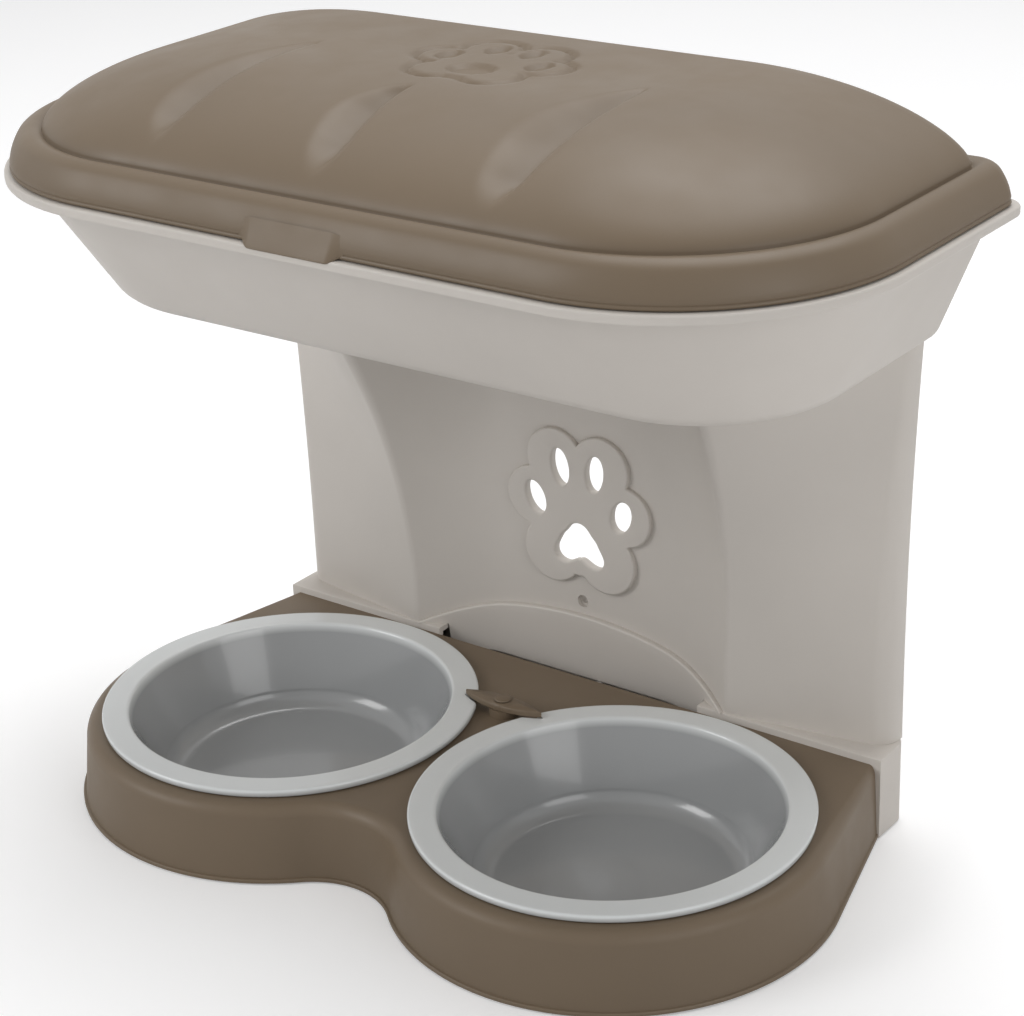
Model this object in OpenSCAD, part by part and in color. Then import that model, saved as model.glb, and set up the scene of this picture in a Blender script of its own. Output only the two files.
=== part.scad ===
// Raised double feeder: two lift-out bowls in a figure-eight tray, and a lidded
// food bin carried above them on a hollow column.
// The origin is on the floor, in the middle of the footprint. +X is to the right
// of someone who faces the bowls, and +Y points to the back.

/* [Bowls] */
// Outer radius of a bowl's rim
rim_r = 100; // [85:1:120]
// Width of the flat rim
rim_w = 14.5; // [10:0.5:20]
// Thickness of the rim
rim_t = 4; // [3:0.5:6]
// Wall of a bowl
bowl_wall = 2; // [1.5:0.5:3]
// Radius of a bowl's flat floor
bowl_floor_r = 58; // [45:1:65]
// Radius between a bowl's floor and its wall
bowl_fillet = 12; // [6:1:16]
// Gap between the two rims
rim_gap = 6; // [4:0.5:12]

/* [Bowl tray] */
// Height of the tray's deck above the floor
deck_z = 41.7; // [38:0.1:60]
// Width of the deck outside a rim
deck_margin = 1.8; // [1:0.2:5]
// Radius of the rolled top edge
roll_r = 7; // [4:0.5:10]
// How far the tray's wall flares out from the roll to the floor
flare = 3.5; // [1:0.5:8]
// Width of the lip along the bottom edge
lip_w = 1.5; // [0.5:0.5:3]
// Height of that lip
lip_h = 2; // [1:0.5:4]
// Distance from the backs of the bowls' rims to the tray's straight rear edge
tray_behind = 6; // [4:1:20]
// Half the width of that rear edge at the deck
tray_rear_half = 187; // [175:1:200]
// Radius of the hollow waist between the two lobes
waist_r = 54; // [40:1:70]
// Wall of the tray
tray_wall = 2.5; // [2:0.5:4]

/* [Latch] */
// Length of the turning latch from tip to tip
latch_len = 49; // [44:1:56]
// Width of the latch in the middle
latch_w = 12; // [9:0.5:13]
// Thickness of the latch
latch_t = 3; // [2:0.5:5]
// Radius of the latch's pivot pin
latch_pin_r = 2.5; // [2:0.25:3]
// Distance of the pivot behind the bowl centres
latch_back = 51; // [47:1:56]

/* [Column] */
// Half the width of the column at its foot
column_half = 190.5; // [180:0.5:196]
// How much the sides spread towards the top
side_spread = 5.5; // [0:0.5:6]
// Back edge of the column, behind the bowls' rims
column_behind = 33; // [28:1:35]
// Wall of the column
column_wall = 3; // [2:0.5:4]
// Radius of the outer front corners
corner_r = 12; // [8:1:20]
// Front of those corners, behind the bowls' rims
corner_behind = 18; // [12:1:20]
// Radius of the two ridges
ridge_r = 6; // [5:0.5:9]
// Half the distance between the ridges at the foot
ridge_half = 103; // [90:1:115]
// How much the ridges spread towards the top
ridge_spread = 13; // [0:1:20]
// Front of the ridges at the foot, behind the bowls' rims
ridge_behind = 7; // [7:0.5:12]
// How far the ridges lean forward under the bin
ridge_reach = 62; // [30:1:75]
// Height above the floor at which the ridges start to lean
ridge_straight = 76; // [60:1:120]
// Front of the middle panel, behind the bowls' rims
panel_behind = 26; // [24:0.5:28]
// Half the width of the flat part of the panel
panel_flat = 50; // [48:1:60]
// Height of the raised arch above the column's foot
arch_rise = 23; // [15:1:35]
// Thickness of the raised arch
arch_t = 3.5; // [2:0.5:5]
// Height of the wall-fixing hole above the floor
fixing_z = 76; // [65:1:80]
// Radius of the wall-fixing hole
fixing_r = 2.25; // [2:0.05:3]
// Radius of the counterbore in front of it
fixing_head_r = 3.6; // [3.5:0.1:5]

/* [Column foot] */
// Half the width of the foot block
foot_half = 193; // [192:0.5:205]
// Height of the foot block above the floor
foot_top = 45.5; // [44:0.5:64]
// Back of the foot block, behind the bowls' rims
foot_behind = 35; // [35:1:52]
// Wall of the foot block
foot_wall = 3; // [2:0.5:4]

/* [Paw plate] */
// Height of the plate's middle above the floor
paw_z = 132; // [130:1:150]
// Thickness of the plate
paw_t = 3; // [2:0.5:5]
// Size of the paw, as a factor
paw_scale = 1; // [0.8:0.05:1.05]
// Radius of the plate's two pegs
peg_r = 3; // [2:0.25:4]

/* [Storage bin] */
// Height of the bin's underside above the floor
bin_z = 263; // [240:1:300]
// Depth of the bin from its flange to its underside
bin_depth = 72.5; // [60:0.5:140]
// Half the width of the flange
flange_half = 245; // [225:1:255]
// Front of the flange, ahead of the bowl centres
flange_front = 91; // [80:1:110]
// Back of the flange, behind the bowls' rims
flange_behind = 35; // [35:1:50]
// Radius of the flange's front corners
flange_corner = 113; // [80:1:120]
// Thickness of the flange
flange_t = 5; // [3:0.5:7]
// Width of the flange outside the bin's wall
flange_w = 13; // [9:1:20]
// How far the sides lean in towards the bottom
side_draft = 28; // [10:1:34]
// How far the front leans in towards the bottom
front_draft = 46; // [20:1:60]
// Radius of the bin's bottom edge
bin_round = 8; // [4:1:8]
// Wall of the bin
bin_wall = 3; // [2:0.5:4]

/* [Lid] */
// Gap between the lid's skirt and the flange
lid_gap = 0.5; // [0.3:0.1:1]
// Set-back of the skirt from the flange's edge
lid_setback = 3; // [2:0.5:5]
// Height of the skirt
skirt_h = 19; // [14:1:26]
// How far the skirt leans in towards the crease
skirt_lean = 8; // [4:1:12]
// Height of the dome above the crease
dome_h = 33; // [25:1:60]
// Set-back of the dome's foot from the top of the skirt
dome_step = 7; // [2:1:10]
// Depth of the flat ledge behind the dome
ledge_d = 14; // [10:1:40]
// Run of the dome's curve at the front
dome_front_run = 100; // [60:1:120]
// Run of the dome's curve at each side
dome_side_run = 108; // [60:1:140]
// Run of the dome's curve at the back
dome_back_run = 4; // [0:1:20]
// How late the dome rises: 1 is a quarter of an ellipse
dome_bend = 1.3; // [1:0.1:1.5]
// Wall of the lid
lid_wall = 2.5; // [2:0.5:4]
// Width of the finger tab
tab_w = 58; // [40:1:80]
// How far the finger tab hangs below the skirt
tab_drop = 2; // [1:0.5:4.5]

/* [Hinge] */
// Radius of a hinge pin
hinge_pin_r = 2.5; // [2:0.25:3]
// Outer radius of a hinge eye
hinge_eye_r = 6; // [5:0.5:6]
// Distance from the middle to each hinge
hinge_x = 115; // [60:1:170]
// Width of the lid's hinge eye
hinge_eye_w = 13; // [8:1:20]
// Width of each of the bin's hinge eyes
hinge_ear_w = 8; // [5:1:12]

/* [Fasteners and pads] */
// Radius of the screws
screw_r = 2; // [1.5:0.25:2.5]
// Radius of the screw heads
screw_head_r = 4; // [3.5:0.25:5]
// Height of the screw heads
screw_head_h = 2.4; // [1.5:0.1:3]
// Length of the screws under the head
screw_len = 16; // [12:1:20]
// Radius of the rubber pads
pad_r = 8; // [5:0.5:9]
// Thickness of the rubber pads
pad_t = 4; // [2.5:0.5:5]
// Height of the tray's lip above the floor
floor_gap = 1; // [0.5:0.5:2]

/* [Hidden] */
$fn = 64;
EPS = 0.01;
PIN_FIT = 0.05;
PRESS_FIT = 0.02;
SLIDE_GAP = 0.3;
AXIS_GAP = 0.5;
HOLE_GAP = 0.25;
OPENING_GAP = 1.5;
LATCH_RIDE = 0.4;
LATCH_CUT_GAP = 1.2;
BOSS_WALL = 2.5;
PIN_DEPTH = 12;
RIB_T = 2.5;
PEG_DEPTH = 4.5;
POCKET_DEPTH = 14;
CORNER_STEPS = 12;
LOBE_STEPS = 24;
SMALL_STEPS = 3;

rim_top = deck_z + SLIDE_GAP + rim_t;
bowl_x = rim_r + rim_gap / 2;
bowl_in_r = rim_r - rim_w;
opening_r = bowl_in_r + bowl_wall + OPENING_GAP;
bowl_bottom = 2 * floor_gap;
bowl_floor_z = bowl_bottom + bowl_wall;

// Distances behind the bowl centres.
tray_back = rim_r + tray_behind;
column_back = rim_r + column_behind;
corner_front = rim_r + corner_behind;
ridge_front = rim_r + ridge_behind;
panel_front = rim_r + panel_behind;
foot_back = rim_r + foot_behind;
flange_back = rim_r + flange_behind;

roll_out_r = rim_r + deck_margin + roll_r;
lobe_r = roll_out_r + flare;
roll_z = deck_z - roll_r;
lip_top = floor_gap + lip_h;

skirt_z = bin_z + bin_depth + lid_gap;
flange_z = bin_z + bin_depth;
crease_z = skirt_z + skirt_h;
skirt_half = flange_half - lid_setback;
skirt_front = flange_front - lid_setback;
skirt_back = flange_back - lid_setback;
skirt_corner = flange_corner - lid_setback;

axis_y = flange_back + hinge_eye_r + 2;
axis_z = skirt_z + 4;

latch_low = rim_top + LATCH_RIDE;
latch_top = latch_low + latch_t;
// The latch is a little thicker round its pin.
latch_hub = 0.6;

// Pads and screws, measured from the middle and from the bowl centres.
lobe_pad = [bowl_x, 0] + (rim_r - 5) * [cos(49.3), -sin(49.3)];
rear_pad = [tray_rear_half - 22, tray_back - 16];
tray_screw_z = 24;
tray_screw_xs = [-130, -40, 40, 130];
foot_screw_xs = [-165, -118, 118, 165];
foot_screw_y = (corner_front + corner_r + column_back) / 2 - 6;
foot_screw_deep = 5;
foot_pad_y = tray_back + 15;
foot_pad_places = [[-135, foot_pad_y], [135, foot_pad_y]];
front_screw = [128, ridge_front - 15];
rear_screw = [160, corner_front];
bin_screw_places = [for (p = [front_screw, rear_screw]) for (s = [-1, 1]) [s * p[0], p[1]]];
// The hollow in the foot's top that the arch stands in.
pocket_half = 85;
pocket_low = foot_top - POCKET_DEPTH;

// The footprint runs from the tray's front lip to the back of the hinge eyes.
front_y = -(lobe_r + lip_w);
back_y = axis_y + hinge_eye_r;
middle_y = (front_y + back_y) / 2;

BROWN = [0.44, 0.39, 0.33];
BEIGE = [0.77, 0.74, 0.71];
WHITE = [0.84, 0.85, 0.85];
STEEL = [0.70, 0.71, 0.72];
BLACK = [0.16, 0.16, 0.16];

module in_place() {
    translate([0, -middle_y, 0]) children();
}

function direction(a) = [cos(a), sin(a)];

// Points on an arc about c, from angle a to angle b in the given number of steps.
function arc(c, r, a, b, steps) = [for (i = [0 : steps]) c + r * direction(a + (b - a) * i / steps)];

function with_z(points, z) = [for (p = points) [p[0], p[1], z]];

function flip(points) = [for (i = [len(points) - 1 : -1 : 0]) points[i]];

// The triangles between m level outlines of n points each.
function skin_sides(n, m) = [for (k = [0 : m - 2]) for (i = [0 : n - 1])
    let(a = k * n + i, b = k * n + (i + 1) % n)
    each [[a, a + n, b + n], [a, b + n, b]]];

// A solid skinned over level outlines that all have the same number of points.
module skin(levels) {
    n = len(levels[0]);
    m = len(levels);
    bottom = [[for (i = [0 : n - 1]) i]];
    top = [[for (i = [n - 1 : -1 : 0]) (m - 1) * n + i]];
    polyhedron([for (level = levels) each level], concat(skin_sides(n, m), bottom, top), convexity = 8);
}

// Outline of the bin and the lid: straight back, two small rear corners and two
// wide front corners. The front and back are distances from the bowl centres.
function d_outline(half, front, back, rf, rb) = concat(
    arc([half - rb, back - rb], rb, 0, 90, SMALL_STEPS),
    arc([-half + rb, back - rb], rb, 90, 180, SMALL_STEPS),
    arc([-half + rf, -front + rf], rf, 180, 270, CORNER_STEPS),
    arc([half - rf, -front + rf], rf, 270, 360, CORNER_STEPS)
);

// Outline of the tray, grown by g: two lobes round the bowls, a hollow waist
// between them at the front, and straight sides that run back to the corners.
function tray_outline(g) =
    let(
        r = rim_r + deck_margin + g,
        wr = waist_r - g,
        wy = sqrt(pow(r + wr, 2) - bowl_x * bowl_x),
        wa = atan2(wy, bowl_x),
        cx = tray_rear_half + g * 0.45 - bowl_x,
        cy = tray_back,
        ta = atan2(cy, cx) - acos(r / norm([cx, cy]))
    )
    concat(
        [[tray_rear_half + g * 0.45, tray_back], [-tray_rear_half - g * 0.45, tray_back]],
        arc([-bowl_x, 0], r, 180 - ta, 360 - wa, LOBE_STEPS),
        [for (i = [1 : CORNER_STEPS - 1])
            [0, -wy] + wr * direction(180 - wa + (2 * wa - 180) * i / CORNER_STEPS)],
        arc([bowl_x, 0], r, 180 + wa, 360 + ta, LOBE_STEPS)
    );

// A solid skinned over tray outlines. Each flat end is cut into triangles that meet
// at the two bowl centres and in the middle.
module tray_skin(levels) {
    n = len(levels[0]);
    m = len(levels);
    hubs = [[-bowl_x, 0], [0, 0], [bowl_x, 0]];
    points = concat(
        [for (level = levels) each level],
        with_z(hubs, levels[0][0][2]), with_z(hubs, levels[m - 1][0][2])
    );
    left_end = 2 + LOBE_STEPS;
    right_start = left_end + CORNER_STEPS;
    hub = [for (i = [0 : n - 1]) i > 1 && i < left_end ? 0 : i >= right_start && i < n - 1 ? 2 : 1];
    end = concat(
        [for (i = [0 : n - 1]) [i, (i + 1) % n, n + hub[i]]],
        [[2, n, n + 1], [n, left_end, n + 1], [right_start, n + 2, n + 1], [n + 2, n - 1, n + 1]]
    );
    bottom = [for (t = end) [for (i = t) i < n ? i : i + n * (m - 1)]];
    top = [for (t = end) [for (i = flip(t)) i < n ? i + n * (m - 1) : i + n * (m - 1) + 3]];
    polyhedron(points, concat(skin_sides(n, m), bottom, top), convexity = 8);
}

module bowl_tray() {
    foot = roll_r + flare;
    top = concat(
        [[lip_top - 0.5, foot]],
        [for (a = [0 : 22.5 : 90]) [roll_z + roll_r * sin(a), roll_r * cos(a)]]
    );
    color(BROWN) in_place() difference() {
        union() {
            difference() {
                union() {
                    tray_skin([for (k = top) with_z(tray_outline(k[1]), k[0])]);
                    translate([0, 0, floor_gap]) linear_extrude(lip_h) polygon(tray_outline(foot + lip_w));
                }
                intersection() {
                    tray_skin([
                        with_z(tray_outline(foot - tray_wall), floor_gap - 1),
                        with_z(tray_outline(foot - tray_wall), lip_top),
                        with_z(tray_outline(roll_r - tray_wall), roll_z),
                        with_z(tray_outline(roll_r - 2 * tray_wall), deck_z - tray_wall)
                    ]);
                    translate([-300, -300, 0]) cube([600, 300 + tray_back - tray_wall, 80]);
                }
            }
            translate([0, latch_back, deck_z - PIN_DEPTH])
                cylinder(r = latch_pin_r + 2 * BOSS_WALL, h = latch_low - SLIDE_GAP - deck_z + PIN_DEPTH);
            tray_pad_bosses();
            tray_ribs();
        }
        for (s = [-1, 1]) translate([s * bowl_x, 0, floor_gap]) cylinder(r = opening_r, h = deck_z);
        translate([0, latch_back, floor_gap]) cylinder(r = latch_pin_r + PRESS_FIT, h = deck_z + PIN_DEPTH);
        for (x = tray_screw_xs) translate([x, tray_back + EPS, tray_screw_z]) rotate([90, 0, 0])
            cylinder(r = screw_r + HOLE_GAP, h = tray_wall + 1);
        at_tray_pads() translate([0, 0, -1]) cylinder(r = pad_r + PRESS_FIT, h = pad_t + 1);
    }
}

module at_tray_pads() {
    for (p = [lobe_pad, rear_pad]) for (s = [-1, 1]) translate([s * p[0], p[1], 0]) children();
}

module tray_pad_bosses() {
    at_tray_pads() translate([0, 0, floor_gap])
        cylinder(r = pad_r + BOSS_WALL, h = deck_z - floor_gap - tray_wall + 1);
}

// Ribs under the deck: two short ones at the rear wall and a long one that holds
// the latch's boss.
module tray_ribs() {
    short_x = 60;
    short_front = tray_back - 26;
    short_low = 12;
    long_front = 4;
    long_low = 20;
    for (s = [-1, 1]) translate([s * short_x - RIB_T / 2, short_front, short_low])
        cube([RIB_T, tray_back - short_front - 1, deck_z - short_low - 1]);
    translate([-RIB_T / 2, long_front, long_low])
        cube([RIB_T, tray_back - long_front - 1, deck_z - long_low - 1]);
}

module bowl(s) {
    outer_round = 1.2;
    inner_round = 2;
    wall_slope = -12;
    fillet_centre = [bowl_floor_r, bowl_floor_z + bowl_fillet];
    profile = concat(
        [[0, bowl_bottom]],
        arc(fillet_centre, bowl_fillet + bowl_wall, -90, wall_slope, 6),
        [[bowl_in_r + bowl_wall, rim_top - rim_t], [rim_r - outer_round / 2, rim_top - rim_t]],
        arc([rim_r - outer_round, rim_top - outer_round], outer_round, 0, 90, 4),
        arc([bowl_in_r + inner_round, rim_top - inner_round], inner_round, 90, 170, 4),
        flip(arc(fillet_centre, bowl_fillet, -90, wall_slope, 6)),
        [[0, bowl_floor_z]]
    );
    color(WHITE) in_place() difference() {
        translate([s * bowl_x, 0, 0]) rotate_extrude($fn = 128) polygon(profile);
        translate([0, latch_back, rim_top - rim_t - 1]) linear_extrude(rim_t + 2)
            leaf(latch_len / 2 + LATCH_CUT_GAP, latch_w / 2 + LATCH_CUT_GAP);
    }
}

module bowl_left() bowl(-1);

module bowl_right() bowl(1);

// A pointed leaf: the lens where two circles overlap.
module leaf(half_len, half_w) {
    r = (half_len * half_len + half_w * half_w) / (2 * half_w);
    intersection() {
        translate([0, r - half_w]) circle(r = r, $fn = 128);
        translate([0, half_w - r]) circle(r = r, $fn = 128);
    }
}

module bowl_latch() {
    color(BROWN) in_place() translate([0, latch_back, latch_low]) difference() {
        union() {
            linear_extrude(latch_t) leaf(latch_len / 2, latch_w / 2);
            cylinder(r = latch_w / 2 + 0.4, h = latch_t + latch_hub);
        }
        translate([0, 0, -1]) cylinder(r = latch_pin_r + PIN_FIT, h = latch_t + latch_hub + 2);
    }
}

module latch_pin() {
    head_z = latch_top + latch_hub + SLIDE_GAP;
    head_w = 2;
    head_t = 1.2;
    color(BROWN) in_place() translate([0, latch_back, 0]) {
        translate([0, 0, deck_z - PIN_DEPTH])
            cylinder(r = latch_pin_r, h = head_z - deck_z + PIN_DEPTH + EPS);
        translate([0, 0, head_z])
            cylinder(r1 = latch_pin_r + head_w, r2 = latch_pin_r + head_w - 0.8, h = head_t);
    }
}

// A hollow block, open underneath, with bosses for its screws and pads. Its top has
// a pocket in the middle that takes the foot of the column's arch.
module column_foot() {
    rib_low = floor_gap + 8;
    boss_deep = 14;
    color(BEIGE) in_place() difference() {
        union() {
            difference() {
                foot_block(0, floor_gap, foot_top);
                foot_block(foot_wall, floor_gap - 1, foot_top - foot_wall);
            }
            for (x = foot_screw_xs) translate([x, foot_screw_y, foot_top - foot_screw_deep - foot_wall])
                cylinder(r = screw_head_r + BOSS_WALL, h = foot_screw_deep + foot_wall - 1);
            for (x = [-140, -65, 10, 85, 160]) translate([x, tray_back + 1, rib_low])
                cube([foot_wall, foot_back - foot_wall - tray_back, foot_top - rib_low - 1]);
            for (p = foot_pad_places) translate([p[0], p[1], floor_gap])
                cylinder(r = pad_r + BOSS_WALL, h = foot_top - floor_gap - 1);
            for (x = tray_screw_xs) translate([x, tray_back + 1, tray_screw_z]) rotate([-90, 0, 0])
                cylinder(r = screw_r + BOSS_WALL, h = boss_deep);
        }
        for (x = foot_screw_xs) translate([x, foot_screw_y, foot_top - 20]) {
            cylinder(r = screw_r + HOLE_GAP, h = 30);
            cylinder(r = screw_head_r + HOLE_GAP, h = 20 - foot_screw_deep);
        }
        for (x = tray_screw_xs) translate([x, tray_back - 1, tray_screw_z]) rotate([-90, 0, 0])
            cylinder(r = screw_r + PRESS_FIT, h = boss_deep + 1);
        for (p = foot_pad_places) translate([p[0], p[1], -1]) cylinder(r = pad_r + PRESS_FIT, h = pad_t + 1);
        foot_pocket();
    }
}

// Everything in front of the column's face, between the pocket's sides.
module foot_pocket() {
    face = [for (p = column_plan(foot_top, 1)) if (abs(p[0]) < pocket_half) p];
    translate([0, 0, pocket_low]) linear_extrude(POCKET_DEPTH + 1) polygon(concat(
        [[-pocket_half, tray_back - 1], [pocket_half, tray_back - 1], [pocket_half, face[0][1]]],
        face,
        [[-pocket_half, face[0][1]]]
    ));
}

// The foot's outline, drawn in by g, between two heights.
module foot_block(g, z0, z1) {
    r = 10 - g;
    translate([0, 0, z0]) linear_extrude(z1 - z0) polygon(concat(
        [[foot_half - g, tray_back + g]],
        arc([foot_half - g - r, foot_back - g - r], r, 0, 90, 6),
        arc([-foot_half + g + r, foot_back - g - r], r, 90, 180, 6),
        [[-foot_half + g, tray_back + g]]
    ));
}

// How far up the leaning part of the column a height is, from 0 to 1.
function lean(z) = max(0, (z - ridge_straight) / (bin_z - ridge_straight));

// Half of the column's front at height z, from its rear edge to the middle: each
// entry is a point and the way out of the surface there.
function column_half_section(z) =
    let(
        t = lean(z),
        hx = column_half + side_spread * t * t,
        c = [hx - corner_r, corner_front + corner_r],
        gx = ridge_half + ridge_spread * t,
        gy = ridge_front + ridge_r - ridge_reach * t * t,
        g = [gx, gy],
        w = c - g,
        fa = atan2(w[1], w[0]) - acos((ridge_r - corner_r) / norm(w)),
        sag = panel_front - gy + ridge_r,
        steep = atan(1.9 * sag / (gx - panel_flat)),
        p1 = g + ridge_r * [-sin(steep), -cos(steep)],
        bend = [p1[0] - (panel_front - p1[1]) / tan(steep), panel_front],
        p2 = [panel_flat, panel_front]
    )
    concat(
        [[[hx, column_back], [1, 0]]],
        [for (k = [0 : 4]) let(d = direction(fa * k / 4)) [c + corner_r * d, d]],
        [for (k = [0 : 4]) let(d = direction(fa + (-90 - steep - fa) * k / 4)) [g + ridge_r * d, d]],
        [for (k = [1 : 6]) let(
            u = k / 6,
            p = (1 - u) * (1 - u) * p1 + 2 * u * (1 - u) * bend + u * u * p2,
            d = 2 * (1 - u) * (bend - p1) + 2 * u * (p2 - bend),
            l = norm(d)
        ) [p, [-d[1] / l, d[0] / l]]]
    );

// The same half on the other side of the middle, in the opposite order.
function mirrored(half) = [for (q = flip(half)) [[-q[0][0], q[0][1]], [-q[1][0], q[1][1]]]];

function column_section(z) = let(half = column_half_section(z)) concat(half, mirrored(half));

function column_plan(z, inset) = [for (q = column_section(z)) q[0] - inset * q[1]];

// The column's wall between two heights: its front surface, its back surface, and
// the four narrow edges that join them.
module column_shell(z0, z1, steps) {
    zs = [for (k = [0 : steps]) z0 + (z1 - z0) * k / steps];
    front = [for (z = zs) with_z(column_plan(z, 0), z)];
    rear = [for (z = zs) with_z(column_plan(z, column_wall), z)];
    n = len(front[0]);
    m = steps + 1;
    total = n * m;
    points = concat([for (level = front) each level], [for (level = rear) each level]);
    quads = concat(
        [for (k = [0 : steps - 1]) for (i = [0 : n - 2]) let(a = k * n + i)
            [a, a + 1, a + n + 1, a + n]],
        [for (k = [0 : steps - 1]) for (i = [0 : n - 2]) let(a = total + k * n + i)
            [a + 1, a, a + n, a + n + 1]],
        [for (i = [0 : n - 2]) [i + 1, i, total + i, total + i + 1]],
        [for (i = [0 : n - 2]) let(a = steps * n + i) [a, a + 1, total + a + 1, total + a]],
        [for (k = [0 : steps - 1]) let(a = k * n) [a, a + n, total + a + n, total + a]],
        [for (k = [0 : steps - 1]) let(a = k * n + n - 1) [a + n, a, total + a, total + a + n]]
    );
    polyhedron(points, [for (q = quads) each [[q[0], q[1], q[2]], [q[0], q[2], q[3]]]], convexity = 8);
}

module column() {
    plate = 4;
    boss_r = screw_r + BOSS_WALL + 0.5;
    counterbore = 4;
    color(BEIGE) in_place() difference() {
        union() {
            column_shell(foot_top, bin_z, 12);
            translate([0, 0, foot_top]) linear_extrude(column_wall)
                polygon(column_plan(foot_top, column_wall / 2));
            translate([0, 0, bin_z - plate]) linear_extrude(plate)
                polygon(column_plan(bin_z - plate, column_wall / 2));
            column_ribs();
            for (p = bin_screw_places) translate([p[0], p[1], bin_z - screw_len - 4])
                cylinder(r = boss_r, h = screw_len + 2);
            for (x = foot_screw_xs) translate([x, foot_screw_y, foot_top + 1])
                cylinder(r = boss_r, h = screw_len);
            translate([0, panel_front + 1, fixing_z]) rotate([-90, 0, 0])
                cylinder(r = fixing_head_r + 2, h = column_back - panel_front - 1);
            column_arch();
        }
        for (p = bin_screw_places) translate([p[0], p[1], bin_z - screw_len - 2])
            cylinder(r = screw_r + PRESS_FIT, h = screw_len + 4);
        for (x = foot_screw_xs) translate([x, foot_screw_y, foot_top - 1])
            cylinder(r = screw_r + PRESS_FIT, h = screw_len);
        translate([0, panel_front - 2, fixing_z]) rotate([-90, 0, 0]) {
            cylinder(r = fixing_r, h = 20);
            cylinder(r = fixing_head_r, h = counterbore);
        }
        translate([0, panel_front + 12, paw_z]) rotate([90, 0, 0]) linear_extrude(20)
            scale(paw_scale) paw_holes(1);
        for (s = [-1, 1]) translate([s * peg_place()[0], panel_front - 1, paw_z + peg_place()[1]])
            rotate([-90, 0, 0]) cylinder(r = peg_r + PRESS_FIT, h = 10);
    }
}

// Stiffening ribs stand behind the ridges and beside the middle panel.
module column_ribs() {
    t = 2;
    h = bin_z - foot_top - 2;
    panel_rib = panel_front + 2;
    ridge_rib = ridge_front + ridge_r + 4;
    for (s = [-1, 1]) {
        translate([s * (panel_flat + 8) - t / 2, panel_rib, foot_top + 1])
            cube([t, column_back - panel_rib, h]);
        translate([s * ridge_half - t / 2, ridge_rib, foot_top + 1]) cube([t, column_back - ridge_rib, h]);
    }
}

// A low raised pad with a round top, at the foot of the middle panel. It follows
// the panel's curve and reaches down into the foot's pocket.
module column_arch() {
    chord = ridge_half - 3;
    r = (chord * chord + arch_rise * arch_rise) / (2 * arch_rise);
    low = pocket_low + SLIDE_GAP;
    high = foot_top + arch_rise + 2;
    intersection() {
        union() {
            translate([0, -arch_t, 0]) column_shell(low, high, 1);
            for (d = [arch_t / 2, 0]) translate([0, -d, 0]) column_shell(foot_top, high, 1);
        }
        translate([0, column_back, foot_top + arch_rise - r]) rotate([90, 0, 0])
            cylinder(r = r, h = 60, $fn = 180);
        union() {
            translate([-chord, ridge_front, foot_top]) cube([2 * chord, 60, arch_rise + 1]);
            translate([1 - pocket_half, ridge_front, low])
                cube([2 * pocket_half - 2, panel_front - ridge_front, POCKET_DEPTH + 1]);
        }
    }
}

// Points on an ellipse about c with the half widths a and b, turned by an angle.
function ellipse(c, a, b, turn) =
    [for (t = [0 : 15 : 345]) c + a * cos(t) * direction(turn) + b * sin(t) * direction(turn + 90)];

// The see-through paw print: four toes and a three-lobed pad. g is 1 in the panel
// and 0 in the plate, so that the plate's edges stand a little inside the panel's.
module paw_holes(g) {
    for (s = [-1, 1]) {
        polygon(ellipse([s * 27.5, 0.5], 6 + g, 9.5 + g, s * -20));
        polygon(ellipse([s * 11, 21.5], 5.5 + g, 10.5 + g, s * -8));
        polygon(ellipse([s * 8.5, -27], 8 + g, 6 + g, s * -28));
    }
    polygon(ellipse([0, -19.5], 8.5 + g, 10.5 + g, 0));
}

module paw_outline() {
    for (s = [-1, 1]) {
        translate([s * 29, 1]) circle(r = 17);
        translate([s * 14.5, 25]) circle(r = 18);
        translate([s * 17, -28]) circle(r = 18.5);
    }
    translate([0, -8]) circle(r = 32);
}

// Where the right-hand peg is, from the plate's middle.
function peg_place() = paw_scale * [30, -21];

module paw_plate() {
    color(BEIGE) in_place() {
        translate([0, panel_front, paw_z]) rotate([90, 0, 0]) linear_extrude(paw_t)
            scale(paw_scale) difference() {
                paw_outline();
                paw_holes(0);
            }
        for (s = [-1, 1]) translate([s * peg_place()[0], panel_front - EPS, paw_z + peg_place()[1]])
            rotate([-90, 0, 0]) cylinder(r = peg_r, h = PEG_DEPTH);
    }
}

// The bin's outline at height z, drawn in by g.
function bin_outline(z, g) =
    let(
        top = flange_z - flange_t,
        t = (top - z) / (top - bin_z)
    )
    d_outline(
        flange_half - flange_w - side_draft * t - g,
        flange_front - flange_w - front_draft * t - g,
        flange_back - 2 - g,
        flange_corner - flange_w - 30 * t - g,
        10 - min(g, 8)
    );

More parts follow.
